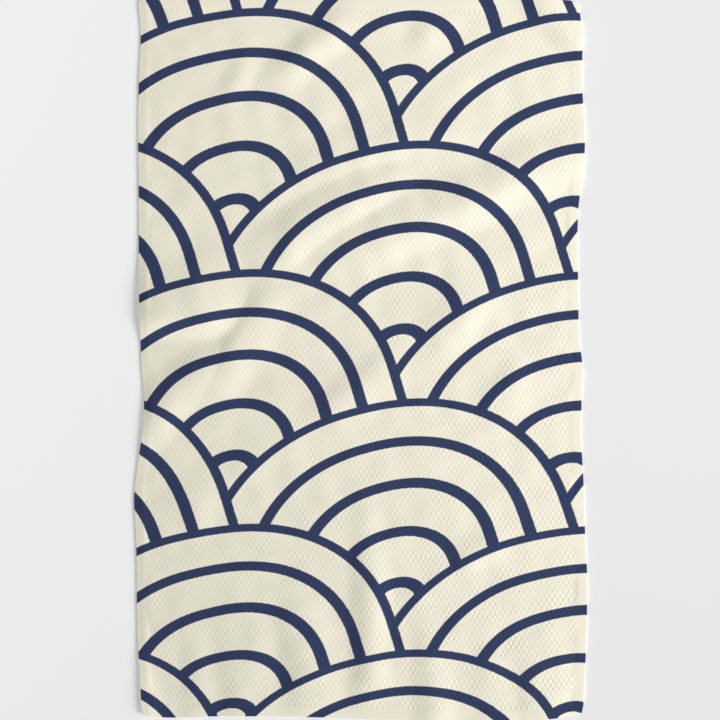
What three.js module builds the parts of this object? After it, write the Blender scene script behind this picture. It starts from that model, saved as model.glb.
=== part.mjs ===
// A tea towel of waffle cloth, laid face up on a table: one sheet with a turned hem, low ridges
// where the cloth has not been smoothed out, and edges that stray a little from straight.
// Millimetres. X runs across the towel, Y along it, Z up from the table.
import * as THREE from "three";

// Sizes of the cloth when it is pulled flat
const WIDTH = 457;
const LENGTH = 742;
const THICKNESS = 1.8;

// The hem: a turned double edge, a little thicker than the cloth, with a rounded outer side
const HEM_WIDTH = 9;
const HEM_THICKNESS = 1.9;
const HEM_ROUND = 0.4;
const CORNER_TUCK = 1.2;

// Under the hem the cloth stands a hair off the table, but for the feet, where its turns lie thickest
const HEM_GAP = 0.4;
const FOOT_SIZE = 4;
const FEET = [
  { x: -196.4, y: -362 },
  { x: 219.5, y: -362 },
  { x: 219.5, y: 362 },
  { x: -219.5, y: 362 },
  { x: -219.5, y: -268.6 },
];

// How far from an edge the straying of that edge reaches into the cloth
const STRAY_REACH = 90;

// How fast a ridge rises from its ends, and what a lower ridge adds to a higher one it meets
const END_SLOPE = 1.3;
const MEETING_SHARE = 0.35;

// Cells of the sheet, the hem's own row of cells at each edge included
const CELLS_ACROSS = 40;
const CELLS_ALONG = 64;

// The two long edges: at this Y, each edge lies this far to the +X side of its straight line
const SIDES = [
  { at: -372, left: 3.2, right: 0.4 },
  { at: -340, left: 2.0, right: 2.0 },
  { at: -300, left: -0.4, right: 3.5 },
  { at: -258, left: -1.9, right: 4.7 },
  { at: -220, left: -2.0, right: 4.7 },
  { at: -180, left: -3.0, right: 2.7 },
  { at: -140, left: -4.7, right: 1.7 },
  { at: -100, left: 0.2, right: -0.4 },
  { at: -75, left: 3.6, right: -1.9 },
  { at: -50, left: 5.6, right: -1.2 },
  { at: -6, left: 2.8, right: 0.0 },
  { at: 20, left: 1.8, right: -3.2 },
  { at: 70, left: 0.5, right: -4.2 },
  { at: 120, left: 0.0, right: -5.2 },
  { at: 160, left: 0.0, right: -3.8 },
  { at: 190, left: -0.2, right: 0.4 },
  { at: 222, left: -0.6, right: 2.4 },
  { at: 285, left: 0.0, right: -0.4 },
  { at: 345, left: 1.6, right: -1.0 },
  { at: 372, left: -1.5, right: -4.5 },
];

// The two short edges: at this X, each edge lies this far to the +Y side of its straight line
const ENDS = [
  { at: -229, bottom: 3.6, top: 0.2 },
  { at: -196, bottom: 2.2, top: 0.9 },
  { at: -148, bottom: 3.6, top: 0.2 },
  { at: -57, bottom: 2.8, top: 1.0 },
  { at: 40, bottom: -0.4, top: 0.5 },
  { at: 110, bottom: -1.0, top: -0.3 },
  { at: 170, bottom: -0.4, top: 0.4 },
  { at: 200, bottom: 1.4, top: 0.0 },
  { at: 229, bottom: 6.0, top: -2.0 },
];

// The ridges. Each crest runs down from one point to another, bowed sideways by "bow" at its middle,
// and slopes to the table within "left" on its left or upper side and "right" on the other. It is
// "rise" high at the share "peak" of its length and sinks to nothing at its ends, so a peak of 1
// stands at the bottom edge of the cloth.
const RIDGE_COLUMNS = ["x0", "y0", "x1", "y1", "bow", "left", "right", "rise", "peak"];
const RIDGE_ROWS = {
  "top slant": [14, 376, -106, 268, -2, 26, 28, 2.1, 0.55],
  "top slant foot": [-112, 322, -142, 258, 0, 20, 20, 1.1, 0.5],
  "top middle": [84, 368, 54, 300, 0, 28, 32, 0.8, 0.5],
  "top right": [158, 384, 250, 306, 0, 24, 28, 3.2, 0.6],
  "upper low": [150, 244, -140, 150, -14, 44, 24, 1.4, 0.5],
  "upper slant": [70, 196, -124, 76, -16, 38, 32, 3.0, 0.5],
  "long slant": [300, 250, -84, 80, 4, 46, 36, 2.8, 0.55],
  "left slant": [-70, 104, -176, -62, 0, 26, 38, 2.2, 0.5],
  "left bar": [-108, 46, -270, 44, 0, 80, 30, 5.0, 0.5],
  "left low bar": [-92, 20, -246, -120, -28, 36, 32, 2.6, 0.55],
  "middle": [60, 16, -70, -78, 0, 28, 40, 1.8, 0.45],
  "middle foot": [-44, -60, -156, -132, 0, 26, 26, 0.8, 0.5],
  "right": [136, 86, 72, 6, 2, 52, 28, 2.3, 0.5],
  "right low": [178, 2, 118, -66, 0, 24, 40, 1.0, 0.5],
  "left low": [-150, -104, -180, -192, 0, 44, 30, 1.2, 0.5],
  "low right": [164, -184, 88, -216, 0, 28, 18, 1.0, 0.5],
  "ripple 1": [-231, -268, -232, -376, 0, 20, 32, 2.6, 1],
  "ripple 2": [-170, -244, -172, -376, 0, 20, 24, 0.6, 1],
  "ripple 3": [-128, -226, -122, -376, 0, 28, 40, 1.1, 1],
  "ripple 4": [-70, -186, -48, -376, 0, 32, 38, 1.8, 0.8],
  "ripple 5": [6, -116, 10, -376, 2, 27, 26, 2.4, 0.7],
  "ripple 6": [72, -236, 76, -376, 0, 27, 28, 1.8, 1],
  "ripple 7": [130, -272, 134, -376, 0, 24, 50, 1.0, 1],
  "ripple 8": [182, -256, 190, -376, 0, 40, 34, 1.5, 1],
};
const RIDGES = Object.values(RIDGE_ROWS).map((row) => {
  return Object.fromEntries(RIDGE_COLUMNS.map((column, k) => [column, row[k]]));
});

const smooth = (t) => THREE.MathUtils.smoothstep(t, 0, 1);

// A soft curve through one column of a table, read at any place along the edge
function curve(table, column) {
  const places = table.map((row) => row.at);
  const values = table.map((row) => row[column]);
  const through = new THREE.CubicInterpolant(places, values, 1);
  return (at) => through.evaluate(THREE.MathUtils.clamp(at, places[0], places.at(-1)))[0];
}

const leftEdge = curve(SIDES, "left");
const rightEdge = curve(SIDES, "right");
const bottomEdge = curve(ENDS, "bottom");
const topEdge = curve(ENDS, "top");

// Height of one ridge over the table at a place on the flat cloth
function ridgeHeight(ridge, u, v) {
  const dx = ridge.x1 - ridge.x0;
  const dy = ridge.y1 - ridge.y0;
  const length = Math.hypot(dx, dy);
  const share = ((u - ridge.x0) * dx + (v - ridge.y0) * dy) / length ** 2;
  if (share <= 0 || share >= 1) return 0;
  const crest = ridge.bow * 4 * share * (1 - share);
  const off = ((v - ridge.y0) * dx - (u - ridge.x0) * dy) / length - crest;
  const width = off > 0 ? ridge.right : ridge.left;
  if (Math.abs(off) >= width) return 0;
  const before = smooth((END_SLOPE * share) / ridge.peak);
  const after = ridge.peak < 1 ? smooth((END_SLOPE * (1 - share)) / (1 - ridge.peak)) : 1;
  return ridge.rise * Math.min(before, after) * Math.cos((off / width) * (Math.PI / 2)) ** 2;
}

// Where two ridges meet, the cloth keeps the higher one and a share of the lower one
function lift(u, v) {
  const heights = RIDGES.map((ridge) => ridgeHeight(ridge, u, v));
  const top = Math.max(...heights);
  const sum = heights.reduce((a, b) => a + b, 0);
  return top + MEETING_SHARE * (sum - top);
}

// Height of the underside over the table
function underside(u, v, isHem) {
  if (FEET.some((foot) => Math.hypot(u - foot.x, v - foot.y) < FOOT_SIZE)) return 0;
  return isHem ? lift(u, v) + HEM_GAP : lift(u, v);
}

// Where a place on the flat cloth lies on the table, with the edges strayed and corners tucked in
function lay(u, v) {
  const fromLeft = u + WIDTH / 2;
  const fromRight = WIDTH / 2 - u;
  const fromBottom = v + LENGTH / 2;
  const fromTop = LENGTH / 2 - v;
  const near = (from) => smooth(1 - from / STRAY_REACH);
  const x = u + leftEdge(v) * near(fromLeft) + rightEdge(v) * near(fromRight);
  const y = v + bottomEdge(u) * near(fromBottom) + topEdge(u) * near(fromTop);
  const side = Math.max(0, 1 - Math.min(fromLeft, fromRight) / HEM_WIDTH);
  const end = Math.max(0, 1 - Math.min(fromBottom, fromTop) / HEM_WIDTH);
  const tuck = CORNER_TUCK * side * end;
  return [x - Math.sign(u) * tuck, y - Math.sign(v) * tuck];
}

// Grid lines over one size of the cloth: its edge, the hem's crease, then even steps
function gridLines(size, cells) {
  const inner = size / 2 - HEM_WIDTH;
  const step = (2 * inner) / (cells - 2);
  const lines = [-size / 2];
  for (let i = 0; i <= cells - 2; i += 1) lines.push(-inner + i * step);
  lines.push(size / 2);
  return lines;
}

function makeSheet() {
  const us = gridLines(WIDTH, CELLS_ACROSS);
  const vs = gridLines(LENGTH, CELLS_ALONG);
  const points = [];
  const faces = [];
  const perLayer = us.length * vs.length;
  const at = (layer, i, j) => layer * perLayer + j * us.length + i;
  const quad = (a, b, c, d) => faces.push(a, b, c, a, c, d);

  // The underside and then the face, both lifted by the ridges; the hem is the outermost band
  vs.forEach((v, j) => {
    us.forEach((u, i) => {
      const isHem = i < 2 || j < 2 || i > CELLS_ACROSS - 2 || j > CELLS_ALONG - 2;
      points.push(...lay(u, v), underside(u, v, isHem));
    });
  });
  vs.forEach((v, j) => {
    us.forEach((u, i) => {
      const isEdge = i === 0 || j === 0 || i === CELLS_ACROSS || j === CELLS_ALONG;
      points.push(...lay(u, v), lift(u, v) + (isEdge ? HEM_THICKNESS : THICKNESS));
    });
  });
  for (let j = 0; j < CELLS_ALONG; j += 1) {
    for (let i = 0; i < CELLS_ACROSS; i += 1) {
      quad(at(1, i, j), at(1, i + 1, j), at(1, i + 1, j + 1), at(1, i, j + 1));
      quad(at(0, i, j + 1), at(0, i + 1, j + 1), at(0, i + 1, j), at(0, i, j));
    }
  }

  // The rim: once round the edge anticlockwise, bulging a little at half its height
  const round = [];
  for (let i = 0; i < CELLS_ACROSS; i += 1) round.push({ i, j: 0 });
  for (let j = 0; j < CELLS_ALONG; j += 1) round.push({ i: CELLS_ACROSS, j });
  for (let i = CELLS_ACROSS; i > 0; i -= 1) round.push({ i, j: CELLS_ALONG });
  for (let j = CELLS_ALONG; j > 0; j -= 1) round.push({ i: 0, j });
  const firstRim = points.length / 3;
  round.forEach(({ i, j }) => {
    const [x, y] = lay(us[i], vs[j]);
    const outX = i === 0 ? -1 : i === CELLS_ACROSS ? 1 : 0;
    const outY = j === 0 ? -1 : j === CELLS_ALONG ? 1 : 0;
    const z = lift(us[i], vs[j]) + HEM_THICKNESS / 2;
    points.push(x + outX * HEM_ROUND, y + outY * HEM_ROUND, z);
  });
  round.forEach((here, k) => {
    const next = (k + 1) % round.length;
    const there = round[next];
    const a = firstRim + k;
    const b = firstRim + next;
    quad(at(0, here.i, here.j), at(0, there.i, there.j), b, a);
    quad(a, b, at(1, there.i, there.j), at(1, here.i, here.j));
  });

  const sheet = new THREE.BufferGeometry();
  sheet.setAttribute("position", new THREE.Float32BufferAttribute(points, 3));
  sheet.setIndex(faces);
  sheet.computeVertexNormals();
  return sheet;
}

const cotton = new THREE.MeshStandardMaterial({ color: "#e6e2d8", roughness: 0.92, metalness: 0 });
const towel = new THREE.Mesh(makeSheet(), cotton);
towel.name = "towel";

const part = new THREE.Group();
part.name = "tea_towel";
part.add(towel);

export default part;
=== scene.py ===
# %% [markdown]
# A waffle-cloth tea towel, face up on a pale table
#
# The towel is one sheet of cotton with a turned hem. The solid model already gives its outline, its
# thickness and its low ridges. Here it gets what an eye looks for next: the small pits of the weave, the
# roll of the hem, and the printed waves. The solid stays as the frame that everything is measured against.

# %% Load the solid model
import math

import bmesh
import bpy
import numpy as np
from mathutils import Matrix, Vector


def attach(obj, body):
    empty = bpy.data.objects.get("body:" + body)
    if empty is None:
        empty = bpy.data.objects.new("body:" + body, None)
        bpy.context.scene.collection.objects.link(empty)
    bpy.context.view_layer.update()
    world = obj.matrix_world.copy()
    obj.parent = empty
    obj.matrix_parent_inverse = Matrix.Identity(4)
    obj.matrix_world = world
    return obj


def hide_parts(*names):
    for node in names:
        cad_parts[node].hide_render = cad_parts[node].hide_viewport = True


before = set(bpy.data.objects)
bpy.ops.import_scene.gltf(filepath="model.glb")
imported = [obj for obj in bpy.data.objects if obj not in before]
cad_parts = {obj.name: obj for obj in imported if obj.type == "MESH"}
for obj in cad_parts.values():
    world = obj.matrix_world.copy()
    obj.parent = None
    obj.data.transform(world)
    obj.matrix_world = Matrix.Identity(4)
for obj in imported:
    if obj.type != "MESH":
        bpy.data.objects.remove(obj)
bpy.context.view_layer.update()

# %% [markdown]
# The camera looks straight down, as at a towel on a table. A long lens from well above keeps the edges
# parallel. The frame is square and just as tall as the towel is long, so the distance follows from the
# lens: what the sensor sees grows in step with how far away it is.

# %% Camera
SENSOR = 36.0
LENS = 85.0
FRAME_HEIGHT = 0.7416
CLOTH_TOP = 0.002
AIM_X, AIM_Y = -0.0006, -0.0005

camera_data = bpy.data.cameras.new("above")
camera_data.lens = LENS
camera_data.sensor_width = SENSOR
camera = bpy.data.objects.new("above", camera_data)
camera.location = (AIM_X, AIM_Y, CLOTH_TOP + FRAME_HEIGHT * LENS / SENSOR)
bpy.context.collection.objects.link(camera)
bpy.context.scene.camera = camera
print("camera height", round(camera.location.z, 3))

# %% [markdown]
# A shader is a web of small nodes. Written one by one, a formula becomes unreadable, so one small class
# holds a socket and lets ordinary Python signs add the Math nodes. Anything else than arithmetic comes
# from its node method, which sets a node's options first and then its sockets.


# %% A value on its way through a material
class Thread:
    def __init__(self, tree, socket=None):
        self.tree = tree
        self.socket = socket

    def node(self, kind, options=None, sockets=None, out=0):
        made = self.tree.nodes.new(kind)
        for name, value in (options or {}).items():
            setattr(made, name, value)
        for name, value in (sockets or {}).items():
            if isinstance(value, Thread):
                self.tree.links.new(value.socket, made.inputs[name])
            else:
                made.inputs[name].default_value = value
        return Thread(self.tree, made.outputs[out])

    def math(self, operation, *values, clamp=False):
        options = {"operation": operation, "use_clamp": clamp}
        return self.node("ShaderNodeMath", options, dict(enumerate(values)))

    def __add__(self, other):
        return self.math("ADD", self, other)

    def __sub__(self, other):
        return self.math("SUBTRACT", self, other)

    def __rsub__(self, other):
        return self.math("SUBTRACT", other, self)

    def __mul__(self, other):
        return self.math("MULTIPLY", self, other)

    def __truediv__(self, other):
        return self.math("DIVIDE", self, other)

    def __rtruediv__(self, other):
        return self.math("DIVIDE", other, self)

    def __mod__(self, other):
        return self.math("FLOORED_MODULO", self, other)

    def __abs__(self):
        return self.math("ABSOLUTE", self)

    __radd__ = __add__
    __rmul__ = __mul__

    def floor(self):
        return self.math("FLOOR", self)

    def __pow__(self, other):
        return self.math("POWER", self, other)

    def above(self, other):
        return self.math("GREATER_THAN", self, other)

    def cosine(self):
        return self.math("COSINE", self)

    def larger(self, other):
        return self.math("MAXIMUM", self, other)

    def smaller(self, other):
        return self.math("MINIMUM", self, other)

    def soft_step(self, width):
        return self.math("ADD", self / width, 0.5, clamp=True)

    def blend(self, first, second):
        sockets = {0: self, 6: first, 7: second}
        return self.node("ShaderNodeMix", {"data_type": "RGBA"}, sockets, out=2)


def linear(red, green, blue):
    """A colour as a screen shows it, 0 to 255, turned into the light that a shader works with."""
    parts = [c / 255 for c in (red, green, blue)]
    return (*(c / 12.92 if c <= 0.04045 else ((c + 0.055) / 1.055) ** 2.4 for c in parts), 1.0)


def new_material(name):
    material = bpy.data.materials.new(name)
    material.use_nodes = True
    tree = material.node_tree
    return material, Thread(tree), tree.nodes["Principled BSDF"]


# %% [markdown]
# The table is a plain pale floor, much larger than the towel, a hair below it. A little light of its own,
# more on the side away from the lamp, keeps it even from side to side, like a seamless studio sweep. Only
# the emission's colour may change over a surface, so its strength is fixed and the colour fades to black.

# %% Floor
FLOOR_SIZE = 24.0
FLOOR_CELLS = 8
FLOOR_DROP = 0.0002
FLOOR_GREY = (0.6, 0.6, 0.603, 1.0)
FLOOR_GLOW = 0.472
FLOOR_EVENING = 0.463
EVENING_REACH = 0.5
GLOW_STRENGTH = 2.0
BLACK = (0.0, 0.0, 0.0, 1.0)

floor_mesh = bpy.data.meshes.new("floor")
shape = bmesh.new()
bmesh.ops.create_grid(shape, x_segments=FLOOR_CELLS, y_segments=FLOOR_CELLS, size=FLOOR_SIZE / 2)
bmesh.ops.translate(shape, verts=shape.verts, vec=(0, 0, -FLOOR_DROP))
shape.to_mesh(floor_mesh)
shape.free()
floor_mark = floor_mesh.attributes.new("across", "FLOAT", "POINT")
floor_mark.data.foreach_set("value", [point.co.x for point in floor_mesh.vertices])
floor = bpy.data.objects.new("floor", floor_mesh)
bpy.context.collection.objects.link(floor)
floor_paint, floor_start, floor_shader = new_material("pale_floor")
floor_across = floor_start.node("ShaderNodeAttribute", {"attribute_name": "across"}, {}, out=2)
glow = FLOOR_GLOW - floor_across.larger(-EVENING_REACH).smaller(EVENING_REACH) * FLOOR_EVENING
floor_shader.inputs["Base Color"].default_value = FLOOR_GREY
floor_shader.inputs["Roughness"].default_value = 0.9
floor_shader.inputs["Specular IOR Level"].default_value = 0.1
glow_colour = (glow / GLOW_STRENGTH).blend(BLACK, FLOOR_GREY)
floor_start.tree.links.new(glow_colour.socket, floor_shader.inputs["Emission Color"])
floor_shader.inputs["Emission Strength"].default_value = GLOW_STRENGTH
floor_mesh.materials.append(floor_paint)
print("floor of", FLOOR_SIZE, "m, with", len(floor_start.tree.nodes), "material nodes")

# %% [markdown]
# One large soft lamp stands low on the right, a little towards the near end, so that each ridge has a
# bright side and a shaded side and the left edge throws a soft shadow. Its beam is aimed past the middle,
# at the far right, so the light falls off towards the near left corner. The sky fills the rest.

# %% Lamp
LAMP_DISTANCE = 4.5
LAMP_TURN = math.radians(-20)
LAMP_HEIGHT = math.radians(28)
LAMP_SIZE = 2.6
LAMP_SPREAD = math.radians(100)
LAMP_AIM = (0.3, 2.0, 0.0)
LAMP_POWER = 149.0
SKY = 0.2

lamp_data = bpy.data.lights.new("window", "AREA")
lamp_data.energy = LAMP_POWER
lamp_data.size = LAMP_SIZE
lamp_data.spread = LAMP_SPREAD
lamp = bpy.data.objects.new("window", lamp_data)
lamp.location = (
    LAMP_DISTANCE * math.cos(LAMP_HEIGHT) * math.cos(LAMP_TURN),
    LAMP_DISTANCE * math.cos(LAMP_HEIGHT) * math.sin(LAMP_TURN),
    LAMP_DISTANCE * math.sin(LAMP_HEIGHT),
)
beam = Vector(LAMP_AIM) - lamp.location
lamp.rotation_euler = beam.to_track_quat("-Z", "Y").to_euler()
bpy.context.collection.objects.link(lamp)

sky = bpy.data.worlds.new("sky")
sky.use_nodes = True
sky.node_tree.nodes["Background"].inputs["Color"].default_value = (1.0, 1.0, 1.0, 1.0)
sky.node_tree.nodes["Background"].inputs["Strength"].default_value = SKY
bpy.context.scene.world = sky
bpy.context.scene.view_settings.view_transform = "Standard"
print("lamp at", [round(c, 2) for c in lamp.location])

# %% [markdown]
# The cloth is drawn flat first, in metres, and laid down later. Its sizes are those of the solid. The
# weave has small oblong pits in staggered rows, so the grid has one line for every half pit: its corners
# then fall on the high and the low places in turn. The hem has lines of its own, close together where
# it rolls over the edge, and a short table gives the height of its face at each of them.

# %% Sizes of the cloth
MM = 0.001
TINY = 1e-6
WIDTH, LENGTH = 457 * MM, 742 * MM
HEM = 9 * MM
HALF_PITS_ACROSS = 166
HALF_PITS_ALONG = 164
CORNER_TUCK = 1.2 * MM
STRAY_REACH = 90 * MM

HEM_ROLL = [
    {"from_edge": 0.0 * MM, "height": 1.82 * MM},
    {"from_edge": 0.1 * MM, "height": 1.86 * MM},
    {"from_edge": 0.3 * MM, "height": 1.89 * MM},
    {"from_edge": 0.8 * MM, "height": 1.9 * MM},
    {"from_edge": 4.0 * MM, "height": 1.9 * MM},
    {"from_edge": 7.0 * MM, "height": 1.89 * MM},
    {"from_edge": 9.0 * MM, "height": 1.84 * MM},
    {"from_edge": 12.0 * MM, "height": 1.8 * MM},
]
hem_lines = [row["from_edge"] for row in HEM_ROLL if row["from_edge"] < HEM]
pit_across = (WIDTH - 2 * HEM) / HALF_PITS_ACROSS * 2
pit_along = (LENGTH - 2 * HEM) / HALF_PITS_ALONG * 2
print("one pit of the weave is", round(pit_across / MM, 2), "x", round(pit_along / MM, 2), "mm")


def grid_lines(size, half_pits):
    inner = np.linspace(-size / 2 + HEM, size / 2 - HEM, half_pits + 1)
    rim = np.array(hem_lines)
    return np.concatenate([-size / 2 + rim, inner, (size / 2 - rim)[::-1]])


# %% [markdown]
# A grid operator makes the flat sheet, an extrude gives it a face and an underside joined by a rim, and a
# poke puts a point in the middle of each cell of the woven part, so that a pit can have four slopes. At
# this stage x and y are places on the flat cloth and z only tells the face (1) from the underside (0).

# %% The flat sheet
lines_across = grid_lines(WIDTH, HALF_PITS_ACROSS)
lines_along = grid_lines(LENGTH, HALF_PITS_ALONG)
cells_across, cells_along = len(lines_across) - 1, len(lines_along) - 1

sheet = bmesh.new()
bmesh.ops.create_grid(sheet, x_segments=cells_across, y_segments=cells_along, size=1.0)
for point in sheet.verts:
    column = round((point.co.x + 1) / 2 * cells_across)
    row = round((point.co.y + 1) / 2 * cells_along)
    point.co = (lines_across[column], lines_along[row], 0.0)

raised = bmesh.ops.extrude_face_region(sheet, geom=sheet.faces[:])["geom"]
face_points = [part for part in raised if isinstance(part, bmesh.types.BMVert)]
bmesh.ops.translate(sheet, verts=face_points, vec=(0, 0, 1))
woven = []
for cell in raised:
    if isinstance(cell, bmesh.types.BMFace):
        middle = cell.calc_center_median()
        if abs(middle.x) < WIDTH / 2 - HEM and abs(middle.y) < LENGTH / 2 - HEM:
            woven.append(cell)
bmesh.ops.poke(sheet, faces=woven)
for cell in sheet.faces:
    cell.smooth = True

cloth = bpy.data.meshes.new("towel_cloth")
sheet.to_mesh(cloth)
sheet.free()
cloth.calc_loop_triangles()
print("cells", len(woven), "triangles", len(cloth.loop_triangles))

# %% [markdown]
# The towel was put down by hand, so its edges stray by a few millimetres. Two short tables give how far
# each edge lies from its straight line, and a soft curve goes through the values in between. They are the
# same tables as the solid's, so that both lie in the same place.

# %% How the edges stray
SIDES = [
    {"at": -372, "left": 3.2, "right": 0.4},
    {"at": -340, "left": 2.0, "right": 2.0},
    {"at": -300, "left": -0.4, "right": 3.5},
    {"at": -258, "left": -1.9, "right": 4.7},
    {"at": -220, "left": -2.0, "right": 4.7},
    {"at": -180, "left": -3.0, "right": 2.7},
    {"at": -140, "left": -4.7, "right": 1.7},
    {"at": -100, "left": 0.2, "right": -0.4},
    {"at": -75, "left": 3.6, "right": -1.9},
    {"at": -50, "left": 5.6, "right": -1.2},
    {"at": -6, "left": 2.8, "right": 0.0},
    {"at": 20, "left": 1.8, "right": -3.2},
    {"at": 70, "left": 0.5, "right": -4.2},
    {"at": 120, "left": 0.0, "right": -5.2},
    {"at": 160, "left": 0.0, "right": -3.8},
    {"at": 190, "left": -0.2, "right": 0.4},
    {"at": 222, "left": -0.6, "right": 2.4},
    {"at": 285, "left": 0.0, "right": -0.4},
    {"at": 345, "left": 1.6, "right": -1.0},
    {"at": 372, "left": -1.5, "right": -4.5},
]
ENDS = [
    {"at": -229, "bottom": 3.6, "top": 0.2},
    {"at": -196, "bottom": 2.2, "top": 0.9},
    {"at": -148, "bottom": 3.6, "top": 0.2},
    {"at": -57, "bottom": 2.8, "top": 1.0},
    {"at": 40, "bottom": -0.4, "top": 0.5},
    {"at": 110, "bottom": -1.0, "top": -0.3},
    {"at": 170, "bottom": -0.4, "top": 0.4},
    {"at": 200, "bottom": 1.4, "top": 0.0},
    {"at": 229, "bottom": 6.0, "top": -2.0},
]


def smooth(share):
    share = np.clip(share, 0, 1)
    return share * share * (3 - 2 * share)


def curve(table, place, column, at):
    """A soft curve through one column of a table, read at many places at once."""
    x = np.array([row[place] for row in table])
    y = np.array([row[column] for row in table])
    slope = np.gradient(y, x)
    at = np.clip(at, x[0], x[-1])
    k = np.clip(np.searchsorted(x, at) - 1, 0, len(x) - 2)
    step = x[k + 1] - x[k]
    t = (at - x[k]) / step
    start = (2 * t**3 - 3 * t**2 + 1) * y[k] + (t**3 - 2 * t**2 + t) * step * slope[k]
    end = (3 * t**2 - 2 * t**3) * y[k + 1] + (t**3 - t**2) * step * slope[k + 1]
    return start + end


def lay(u, v):
    """Where a place on the flat cloth lies on the table."""
    left, right = u + WIDTH / 2, WIDTH / 2 - u
    bottom, top = v + LENGTH / 2, LENGTH / 2 - v
    x = u + MM * curve(SIDES, "at", "left", v / MM) * smooth(1 - left / STRAY_REACH)
    x = x + MM * curve(SIDES, "at", "right", v / MM) * smooth(1 - right / STRAY_REACH)
    y = v + MM * curve(ENDS, "at", "bottom", u / MM) * smooth(1 - bottom / STRAY_REACH)
    y = y + MM * curve(ENDS, "at", "top", u / MM) * smooth(1 - top / STRAY_REACH)
    side = np.clip(1 - np.minimum(left, right) / HEM, 0, 1)
    end = np.clip(1 - np.minimum(bottom, top) / HEM, 0, 1)
    tuck = CORNER_TUCK * side * end
    return x - np.sign(u) * tuck, y - np.sign(v) * tuck


strays = [abs(row[side]) for row in SIDES for side in ("left", "right")]
print("the long edges stray by up to", max(strays), "mm")

# %% [markdown]
# Cloth that is put down and not smoothed out keeps low ridges: long slanting ones where it was pulled,
# and a row of upright ripples along the near edge. Each row of the table is one ridge, with the two ends
# of its crest from the upper to the lower, how far the crest bows aside, how wide it slopes on its left
# or upper side and on the other, its height, and where along its length it is highest. These rows are the
# solid's too.

# %% The ridges
RIDGE_COLUMNS = ("x0", "y0", "x1", "y1", "bow", "left", "right", "rise", "peak")
END_SLOPE = 1.3
MEETING_SHARE = 0.35
RIDGE_ROWS = {
    "top slant": (14, 376, -106, 268, -2, 26, 28, 2.1, 0.55),
    "top slant foot": (-112, 322, -142, 258, 0, 20, 20, 1.1, 0.5),
    "top middle": (84, 368, 54, 300, 0, 28, 32, 0.8, 0.5),
    "top right": (158, 384, 250, 306, 0, 24, 28, 3.2, 0.6),
    "upper low": (150, 244, -140, 150, -14, 44, 24, 1.4, 0.5),
    "upper slant": (70, 196, -124, 76, -16, 38, 32, 3.0, 0.5),
    "long slant": (300, 250, -84, 80, 4, 46, 36, 2.8, 0.55),
    "left slant": (-70, 104, -176, -62, 0, 26, 38, 2.2, 0.5),
    "left bar": (-108, 46, -270, 44, 0, 80, 30, 5.0, 0.5),
    "left low bar": (-92, 20, -246, -120, -28, 36, 32, 2.6, 0.55),
    "middle": (60, 16, -70, -78, 0, 28, 40, 1.8, 0.45),
    "middle foot": (-44, -60, -156, -132, 0, 26, 26, 0.8, 0.5),
    "right": (136, 86, 72, 6, 2, 52, 28, 2.3, 0.5),
    "right low": (178, 2, 118, -66, 0, 24, 40, 1.0, 0.5),
    "left low": (-150, -104, -180, -192, 0, 44, 30, 1.2, 0.5),
    "low right": (164, -184, 88, -216, 0, 28, 18, 1.0, 0.5),
    "ripple 1": (-231, -268, -232, -376, 0, 20, 32, 2.6, 1),
    "ripple 2": (-170, -244, -172, -376, 0, 20, 24, 0.6, 1),
    "ripple 3": (-128, -226, -122, -376, 0, 28, 40, 1.1, 1),
    "ripple 4": (-70, -186, -48, -376, 0, 32, 38, 1.8, 0.8),
    "ripple 5": (6, -116, 10, -376, 2, 27, 26, 2.4, 0.7),
    "ripple 6": (72, -236, 76, -376, 0, 27, 28, 1.8, 1),
    "ripple 7": (130, -272, 134, -376, 0, 24, 50, 1.0, 1),
    "ripple 8": (182, -256, 190, -376, 0, 40, 34, 1.5, 1),
}
RIDGES = [dict(zip(RIDGE_COLUMNS, row)) for row in RIDGE_ROWS.values()]


def ridge_height(ridge, u, v):
    """Height of one ridge in millimetres over places on the flat cloth, also in millimetres."""
    dx, dy = ridge["x1"] - ridge["x0"], ridge["y1"] - ridge["y0"]
    length = math.hypot(dx, dy)
    share = ((u - ridge["x0"]) * dx + (v - ridge["y0"]) * dy) / length**2
    crest = ridge["bow"] * 4 * share * (1 - share)
    off = ((v - ridge["y0"]) * dx - (u - ridge["x0"]) * dy) / length - crest
    width = np.where(off > 0, ridge["right"], ridge["left"])
    before = smooth(END_SLOPE * share / ridge["peak"])
    after = smooth(END_SLOPE * (1 - share) / (1 - ridge["peak"])) if ridge["peak"] < 1 else 1.0
    across = np.cos(np.clip(off / width, -1, 1) * math.pi / 2) ** 2
    inside = (share > 0) & (share < 1)
    return np.where(inside, ridge["rise"] * np.minimum(before, after) * across, 0.0)


def lift(u, v):
    """How far the cloth stands off the table: the highest ridge and a share of any other there."""
    heights = [ridge_height(ridge, u / MM, v / MM) for ridge in RIDGES]
    top = np.max(heights, axis=0)
    return MM * (top + MEETING_SHARE * (np.sum(heights, axis=0) - top))


print(len(RIDGES), "ridges, the highest", max(ridge["rise"] for ridge in RIDGES), "mm")

# %% [markdown]
# Waffle cloth is never quite even. A slight unevenness is a sum of a few dozen gentle waves in all
# directions, drawn with a fixed seed, so that each run gives the same cloth. A cloud texture with a
# displace modifier would do it too, but the sum is easy to fade out at the hem.

# %% Unevenness
SEED = 11
SWELLS = 48
SHORT_SWELL, LONG_SWELL = 26, 80

count = len(cloth.vertices)
flat = np.empty(count * 3)
cloth.vertices.foreach_get("co", flat)
flat = flat.reshape(count, 3)
u, v, is_face = flat[:, 0], flat[:, 1], flat[:, 2] > 0.5
from_edge = np.minimum(WIDTH / 2 - np.abs(u), LENGTH / 2 - np.abs(v))

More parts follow.
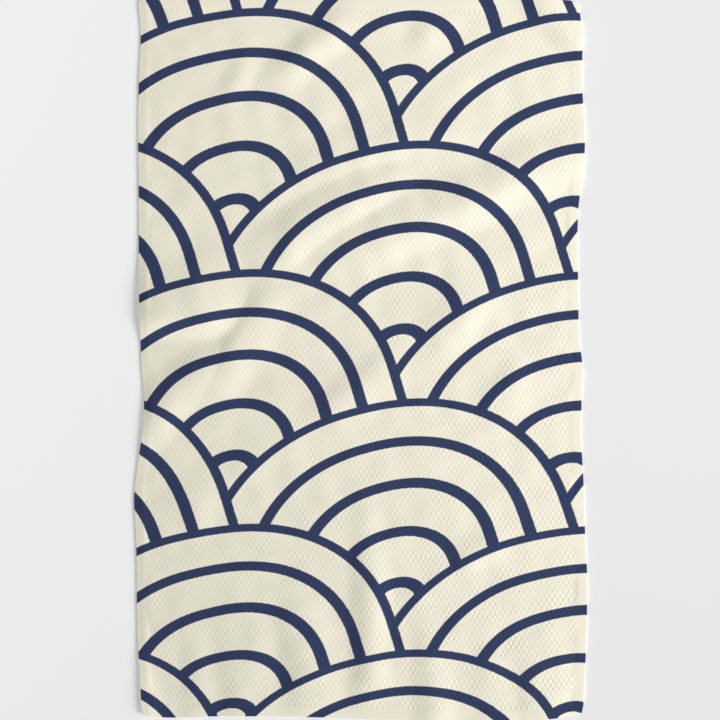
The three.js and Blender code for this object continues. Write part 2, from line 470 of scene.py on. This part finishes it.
chance = np.random.default_rng(SEED)
uneven = np.zeros(count)
for _ in range(SWELLS):
    heading = chance.uniform(0, 2 * math.pi)
    swell = chance.uniform(SHORT_SWELL, LONG_SWELL) * MM
    turn = 2 * math.pi / swell * (u * math.cos(heading) + v * math.sin(heading))
    uneven += np.sin(turn + chance.uniform(0, 2 * math.pi)) / math.sqrt(SWELLS / 2)
print("unevenness spreads by", round(float(uneven.std()), 2))

# %% [markdown]
# Now every point of the sheet is moved to its place. The underside lies on the ridges alone. The face adds
# the hem's own height, the pits of the weave and the unevenness. The left hem lies a little flatter than
# the others, and all round the underside is drawn in under the rim, as a turned edge curls under.

# %% Lay the cloth
PIT_DEPTH = 0.14 * MM
UNEVEN = 0.15 * MM
WEAVE_FADE = 4 * MM
LEFT_SINK = 0.5 * MM
LEFT_REACH = 9 * MM
HEM_ROUND = 0.1 * MM
HEM_UNDERCUT = 0.8 * MM

woven_in = smooth((from_edge - HEM) / WEAVE_FADE)
pits = np.cos(2 * math.pi * u / pit_across) * np.cos(2 * math.pi * v / pit_along)
height = curve(HEM_ROLL, "from_edge", "height", from_edge)
height = height - LEFT_SINK * smooth(1 - (u + WIDTH / 2) / LEFT_REACH)
height = height + woven_in * (PIT_DEPTH * pits + UNEVEN * uneven)
x, y = lay(u, v)
outward = np.where(is_face, HEM_ROUND, -HEM_UNDERCUT)
x = x + np.where(np.abs(u) > WIDTH / 2 - TINY, np.sign(u) * outward, 0)
y = y + np.where(np.abs(v) > LENGTH / 2 - TINY, np.sign(v) * outward, 0)
z = lift(u, v) + np.where(is_face, height, 0)
cloth.vertices.foreach_set("co", np.column_stack([x, y, z]).ravel())
cloth.update()
print("cloth stands up to", round(z.max() / MM, 2), "mm above the table")

# %% [markdown]
# The print was put on the flat cloth, so the shader must know where each point was before it was laid.
# A UV map keeps that place, in metres. A second map sets the face and the underside side by side in a
# square, for anyone who paints or bakes the towel. On the rim, both maps go a little past the edge. The
# near end and the long sides were pulled unevenly after printing, so a mark says how far the print slips.

# %% Maps of the flat cloth
PRINT_SLIP = [
    {"at": -229, "down": -4.0, "aside": 0.0},
    {"at": -185, "down": -3.0, "aside": 0.0},
    {"at": -148, "down": 0.0, "aside": 0.0},
    {"at": -57, "down": 0.0, "aside": 0.0},
    {"at": 40, "down": -2.0, "aside": 0.0},
    {"at": 130, "down": -2.0, "aside": 5.0},
    {"at": 190, "down": -2.0, "aside": 5.0},
    {"at": 229, "down": 4.0, "aside": 0.0},
]
SLIP_REACH = 130 * MM
RIGHT_SLIP = 3.0
LEFT_SLIP = 2.5
RIM_MARGIN = 1.2 * MM
MAP_SCALE = 1.04
SHARP = math.radians(60)

corner_point = np.empty(len(cloth.loops), dtype=np.int32)
cloth.loops.foreach_get("vertex_index", corner_point)
corner_of_face = np.empty(len(cloth.loops), dtype=bool)
rim_corner = np.zeros(len(cloth.loops), dtype=bool)
for polygon in cloth.polygons:
    sides = is_face[list(polygon.vertices)]
    corners = slice(polygon.loop_start, polygon.loop_start + polygon.loop_total)
    corner_of_face[corners] = sides.any()
    rim_corner[corners] = sides.any() and not sides.all()

past = np.where(rim_corner & ~is_face[corner_point], RIM_MARGIN, 0.0)
cu, cv = u[corner_point], v[corner_point]
cu = cu + past * np.sign(cu) * (np.abs(cu) > WIDTH / 2 - TINY)
cv = cv + past * np.sign(cv) * (np.abs(cv) > LENGTH / 2 - TINY)
flat_map = cloth.uv_layers.new(name="flat_cloth")
flat_map.uv.foreach_set("vector", np.column_stack([cu, cv]).astype(np.float32).ravel())
map_middle = np.where(corner_of_face, 0.25, 0.75)
square = np.column_stack([map_middle + MAP_SCALE * cu, 0.5 + MAP_SCALE * cv])
bake_map = cloth.uv_layers.new(name="OFBake")
bake_map.uv.foreach_set("vector", square.astype(np.float32).ravel())

face_mark = cloth.attributes.new("face_side", "FLOAT", "CORNER")
face_mark.data.foreach_set("value", corner_of_face.astype(np.float32))

near_end = smooth(1 - (v + LENGTH / 2) / SLIP_REACH)
down = curve(PRINT_SLIP, "at", "down", u / MM) * near_end
down = down - LEFT_SLIP * smooth(1 - (u + WIDTH / 2) / STRAY_REACH)
aside = curve(PRINT_SLIP, "at", "aside", u / MM) * near_end
aside = aside + RIGHT_SLIP * smooth(1 - (WIDTH / 2 - u) / STRAY_REACH)
slip_mark = cloth.attributes.new("print_slip", "FLOAT_VECTOR", "POINT")
slip = np.column_stack([aside, down, np.zeros(count)])
slip_mark.data.foreach_set("vector", slip.astype(np.float32).ravel())
cloth.set_sharp_from_angle(angle=SHARP)
print("rim corners", int(rim_corner.sum()))

# %% [markdown]
# The towel's material starts from the flat place in millimetres. Waves made of nested arcs are an old
# pattern that anyone may draw. Here each arc is part of a slanted oval with a fuller right shoulder, set a
# little aside and up from the foot of its wave. The waves stand in rows, every second row moved by half a
# wave. A wave hides what is behind it: the nearer row lies over the farther one, and in a row the left wave
# lies over the right one. So the shader asks only for two rows and two waves in each.

# %% The printed waves
WAVE_PERIOD = 345.0
ROW_STEP = 132.0
FIRST_STEP = 135.0
CLOSING_UP = 0.006
TOP_ROW = 356.0
FOOT = 41.0
CREST = 235.0
SLANT = math.radians(17)
FLATNESS = 0.79
SHOULDER = 0.25
INK_EDGE = 0.9
LEFT_LOOK = 200.0
ROW_LAP = 0.05
PRINT_TURN = math.radians(0.4)
ARCS = [
    {"reach": 188.0, "line": 10.0, "aside": -14.0, "up": 80.0},
    {"reach": 143.0, "line": 12.0, "aside": -9.0, "up": 77.0},
    {"reach": 100.0, "line": 13.0, "aside": -2.0, "up": 69.0},
    {"reach": 62.0, "line": 13.0, "aside": -1.0, "up": 50.0},
    {"reach": 26.0, "line": 14.0, "aside": -1.0, "up": 26.0},
]


def oval(arc, aside, up):
    """How far out on an arc's slanted oval a place lies, measured along its long half."""
    x, y = aside - arc["aside"], up - arc["up"]
    long = x * math.cos(SLANT) + y * math.sin(SLANT)
    short = (y * math.cos(SLANT) - x * math.sin(SLANT)) / FLATNESS
    fullness = long.above(0.0) * SHOULDER + 2.0
    return (abs(long) ** fullness + short.larger(0.0) ** fullness) ** (1.0 / fullness)


def arc_line(arc, far):
    return (arc["line"] / 2 - abs(far - arc["reach"])).soft_step(INK_EDGE)


def wave_row(u, row, drop, behind):
    """One row of waves: where it covers what is behind it, and where it has ink."""
    outline = ARCS[0]
    up = CREST - (drop + behind) * ROW_STEP
    odd = (row - behind) % 2.0
    foot = FOOT - WAVE_PERIOD / 2 + odd * (WAVE_PERIOD / 2)
    aside = (u - foot + LEFT_LOOK) % WAVE_PERIOD - LEFT_LOOK
    edge = outline["reach"] + outline["line"] / 2
    inner = edge - outline["line"]
    far = oval(outline, aside, up)
    covers = (edge - far).soft_step(INK_EDGE)
    ink = (far - inner).soft_step(INK_EDGE)
    for arc in ARCS[1:]:
        ink = ink.larger(arc_line(arc, oval(arc, aside, up)))
    far_left = oval(outline, aside + WAVE_PERIOD, up)
    over = (edge - far_left).soft_step(INK_EDGE)
    ink = ink + ((far_left - inner).soft_step(INK_EDGE) - ink) * over
    return covers.larger(over), ink


def printed_waves(u, v):
    """Ink at a place on the flat cloth, on which the print lies a little askew."""
    across = u * math.cos(PRINT_TURN) - v * math.sin(PRINT_TURN)
    along = v * math.cos(PRINT_TURN) + u * math.sin(PRINT_TURN)
    steps = (TOP_ROW - along) / FIRST_STEP
    rows = steps + CLOSING_UP * steps * (steps - 1.0)
    row = (rows + ROW_LAP).floor()
    drop = rows - row
    _, ink_behind = wave_row(across, row, drop, 1.0)
    covers, ink = wave_row(across, row, drop, 0.0)
    return ink_behind + (ink - ink_behind) * covers


print("waves of", len(ARCS), "arcs, one every", WAVE_PERIOD, "mm in a row")

# %% [markdown]
# Cotton waffle is matt. Its material first finds its place on the flat cloth, then two kinds of disorder: a
# fine speckle, and the slack of the yarns, which shifts the pits and lets some of them fade. The pits are
# counted off with a cosine each way, as in the mesh, and they end where the hem begins.

# %% Place, speckle and pits
TO_MM = 1000.0
SPECKLE_SCALE = 420.0
CLOUD_SCALE = 14.0
SLACK_SCALE = 70.0
SHIFT_ACROSS = 2.0
SHIFT_ALONG = 3.0
WEAVE_START = HEM / MM + 1.0
WEAVE_EDGE = 2.0

cotton, start, shader = new_material("printed_cotton")
place = start.node("ShaderNodeUVMap", {"uv_map": "flat_cloth"})
flat_u = start.node("ShaderNodeSeparateXYZ", {}, {0: place}, out=0) * TO_MM
flat_v = start.node("ShaderNodeSeparateXYZ", {}, {0: place}, out=1) * TO_MM


def noise(scale, detail, roughness=0.5):
    sockets = {"Vector": place, "Scale": scale, "Detail": detail, "Roughness": roughness}
    return start.node("ShaderNodeTexNoise", {"noise_dimensions": "2D"}, sockets)


speckle = noise(SPECKLE_SCALE, 2.0)
clouds = noise(CLOUD_SCALE, 3.0)
slack = noise(SLACK_SCALE, 3.0, roughness=0.75)
turn_u = flat_u * (2 * math.pi / (pit_across / MM)) + (speckle - 0.5) * SHIFT_ACROSS
turn_v = flat_v * (2 * math.pi / (pit_along / MM)) + (slack - 0.5) * SHIFT_ALONG
pit = turn_u.cosine() * turn_v.cosine()
edge_away = (WIDTH / 2 / MM - abs(flat_u)).smaller(LENGTH / 2 / MM - abs(flat_v))
weave = (edge_away - WEAVE_START).soft_step(WEAVE_EDGE)
print("material nodes for place and pits", len(start.tree.nodes))

# %% [markdown]
# The cream has slight clouds, and a painted shade makes it a touch darker in the pits. The navy ink
# sits on the high yarns and misses a little in the pits, and its edge wanders with the speckle. The print
# slips where the mark says so, and only the face has it.

# %% Cotton, ink and painted pit shade
CREAM = linear(247, 243, 224)
# the darker cream serves for the clouds in the cotton and for a painted shade in the pits
CREAM_CLOUD_AND_PIT_SHADE = linear(237, 232, 211)
NAVY = linear(44, 56, 90)
NAVY_THIN = linear(61, 73, 107)
INK_WANDER = 0.7
CREAM_PIT_SHADE, CREAM_CLOUDS = 0.35, 0.5
NAVY_PITS, NAVY_SPECKLE = 0.25, 0.5

face_side = start.node("ShaderNodeAttribute", {"attribute_name": "face_side"}, {}, out=2)
slip_read = start.node("ShaderNodeAttribute", {"attribute_name": "print_slip"}, {}, out=1)
slip_aside = start.node("ShaderNodeSeparateXYZ", {}, {0: slip_read}, out=0)
slip_down = start.node("ShaderNodeSeparateXYZ", {}, {0: slip_read}, out=1)
wander = (speckle - 0.5) * INK_WANDER
ink = printed_waves(flat_u - slip_aside + wander, flat_v + slip_down + wander) * face_side
hollow = (0.5 - 0.5 * pit) * weave
# painted shade: the cream is drawn darker in the pits of the weave, besides its clouds
cream = (hollow * CREAM_PIT_SHADE + clouds * CREAM_CLOUDS).blend(CREAM, CREAM_CLOUD_AND_PIT_SHADE)
navy = (hollow * NAVY_PITS + speckle * NAVY_SPECKLE).blend(NAVY, NAVY_THIN)
colour = ink.blend(cream, navy)
print("with the print", len(start.tree.nodes))

# %% [markdown]
# The mesh has the pits, and a bump rounds them off more finely than its corners can. It is firmer towards
# the near right, where the cloth lies tighter. The yarns are far finer than the mesh, so they are a bump
# too, and so is the row of stitches that holds the hem down.

# %% Relief of pits, yarns and stitches
PIT_RELIEF = 0.092
FIRM_RIGHT, FIRM_FAR, FIRM_MIDDLE = 0.0011, 0.0006, 0.75
SLACK_GAIN, SLACK_LOSS, SLACK_LEAST = 4.0, 1.2, 0.1
YARN_ACROSS, YARN_ALONG = 0.66, 0.74
YARN_RELIEF = 0.004
FUZZ_RELIEF = 0.03
STITCH = 3.2
STITCH_SHARE = 0.78
STITCH_END = 0.2
STITCH_INSET = 8.0
STITCH_HALF = 0.45
STITCH_SIDE = 0.3
STITCH_RELIEF = 0.03
SEAM_END, SEAM_FADE = 7.0, 0.4


def stitch_row(across, along, size):
    """Stitches along the two edges that lie half a size either side of the middle."""
    seam = (STITCH_HALF - abs(size / 2 / MM - abs(across) - STITCH_INSET)).soft_step(STITCH_SIDE)
    return seam * (STITCH_SHARE - (along / STITCH) % 1.0).soft_step(STITCH_END)


firm = flat_u * FIRM_RIGHT - flat_v * FIRM_FAR + FIRM_MIDDLE
tight = (slack * SLACK_GAIN - SLACK_LOSS).larger(SLACK_LEAST)
pitting = pit * weave * firm * tight * PIT_RELIEF
yarns_across = (flat_u * (2 * math.pi / YARN_ACROSS)).cosine()
yarns = yarns_across + (flat_v * (2 * math.pi / YARN_ALONG)).cosine()
stitches = stitch_row(flat_u, flat_v, WIDTH).larger(stitch_row(flat_v, flat_u, LENGTH))
stitches = stitches * (edge_away - SEAM_END).soft_step(SEAM_FADE)
relief = pitting + yarns * YARN_RELIEF + speckle * FUZZ_RELIEF + stitches * STITCH_RELIEF
bump = start.node("ShaderNodeBump", {}, {"Strength": 1.0, "Distance": MM, "Height": relief})

# %% Finish of the cotton
COTTON_FINISH = {
    "Roughness": 0.93,
    "Specular IOR Level": 0.12,
    "Sheen Weight": 0.04,
    "Sheen Roughness": 0.6,
}

for name, thread in (("Base Color", colour), ("Normal", bump)):
    start.tree.links.new(thread.socket, shader.inputs[name])
for name, value in COTTON_FINISH.items():
    shader.inputs[name].default_value = value
cloth.materials.append(cotton)
print("all material nodes", len(start.tree.nodes))

# %% [markdown]
# The finished cloth takes the place of the plain solid and rides on the same body.

# %% Put the towel in the frame
towel = bpy.data.objects.new("printed_towel", cloth)
bpy.context.collection.objects.link(towel)
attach(towel, "root")
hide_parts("towel")
